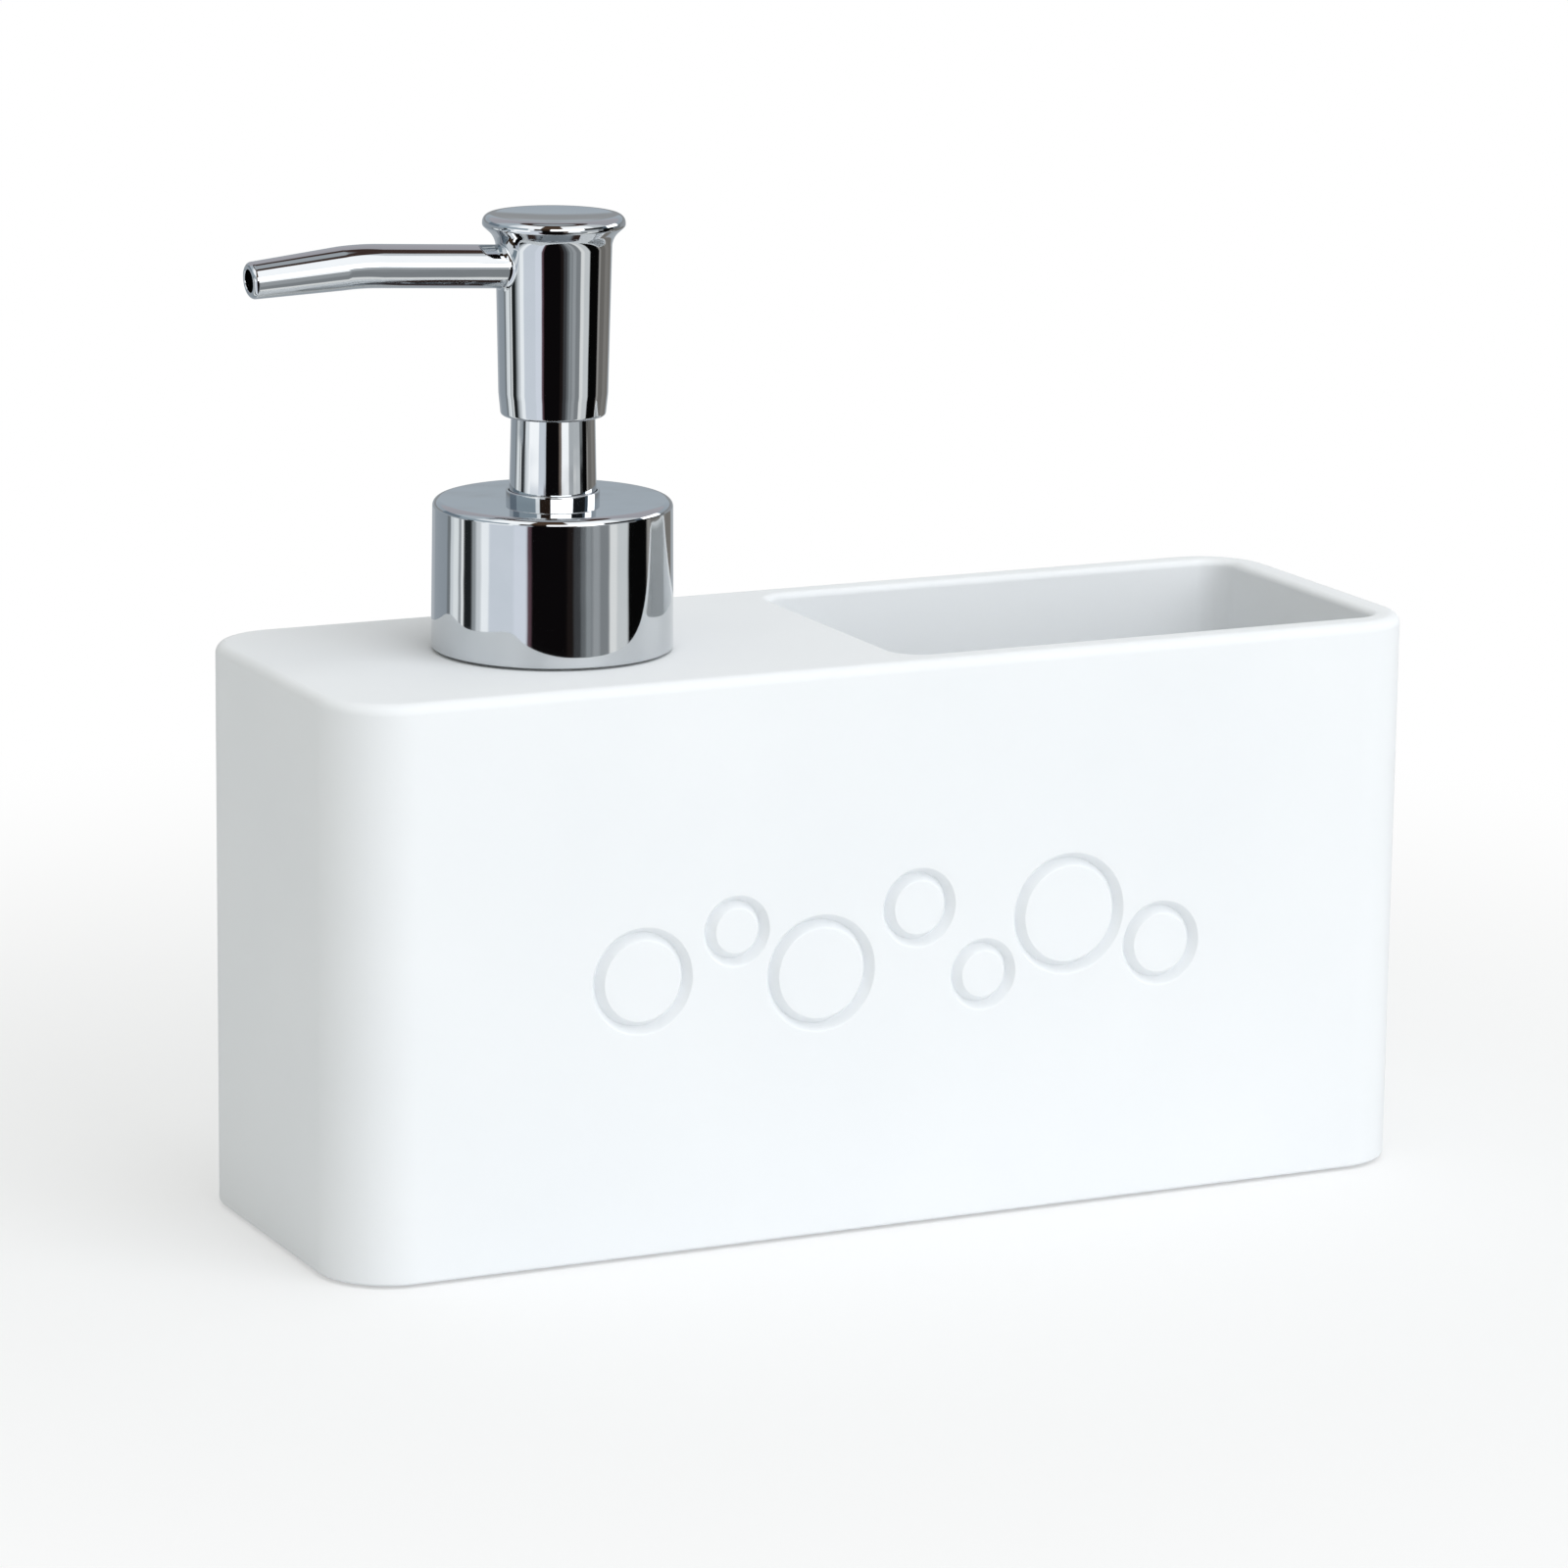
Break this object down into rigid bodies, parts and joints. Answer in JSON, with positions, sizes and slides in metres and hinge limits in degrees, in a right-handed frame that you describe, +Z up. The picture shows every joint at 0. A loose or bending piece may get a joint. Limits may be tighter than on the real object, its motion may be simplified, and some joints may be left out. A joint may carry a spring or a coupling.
{
  "type": "soap pump caddy",
  "caption": "Matte white block with a soap chamber under a bright lotion pump, an open sponge slot beside it and a sunk bubble motif on the front.",
  "frame": {"origin": "centre of the casting's footprint, on the surface it stands on", "axes": "+Z up, +X to the sponge slot's end, the front face with the motif looks along -Y, the spout points along -X at rest"},
  "size_m": [0.1623, 0.054, 0.1358],
  "materials": {
    "casting": "matte",
    "foam_pad": "matte",
    "white_plastic": "satin",
    "natural_plastic": "satin",
    "soft_seal": "matte",
    "chrome": "polished",
    "ball_steel": "polished",
    "spring_steel": "satin"
  },
  "bodies": {
    "caddy": {"caddy_body": "casting", "base_plate": "casting", "base_pad": "foam_pad", "neck_insert": "white_plastic"},
    "pump_core": {"pump_housing": "natural_plastic", "guide_bush": "white_plastic", "neck_gasket": "soft_seal", "inlet_ball": "ball_steel", "ball_cage": "natural_plastic", "return_spring": "spring_steel", "dip_tube": "natural_plastic"},
    "closure": {"screw_cap": "white_plastic", "collar_shell": "chrome"},
    "plunger": {"piston_seal": "soft_seal"},
    "head": {"pump_head": "chrome", "head_core": "white_plastic", "spout_tube": "chrome", "stem_sleeve": "chrome", "stem_core": "natural_plastic", "outlet_ball": "ball_steel"}
  },
  "joints": [
    {"name": "pump_rise", "type": "slide", "parent": "caddy", "child": "pump_core", "axis": [0, 0, 1], "range_m": [0, 0.00525]},
    {"name": "collar_unscrew", "type": "hinge", "parent": "pump_core", "child": "closure", "pos_m": [-0.0393, 0, 0.0878], "axis": [0, 0, 1], "range_deg": [0, 450.1]},
    {"name": "pump_stroke", "type": "slide", "parent": "pump_core", "child": "plunger", "axis": [0, 0, -1], "range_m": [0, 0.009], "stiffness_N_per_m": 350, "springref_m": -0.012, "deforming": ["return_spring"]},
    {"name": "head_swivel", "type": "hinge", "parent": "plunger", "child": "head", "pos_m": [-0.0393, 0, 0.1293], "axis": [0, 0, 1], "continuous": true}
  ],
  "couplings": [
    {"joint": "collar_unscrew", "follows": "pump_rise", "rad_per_m": 1496}
  ]
}
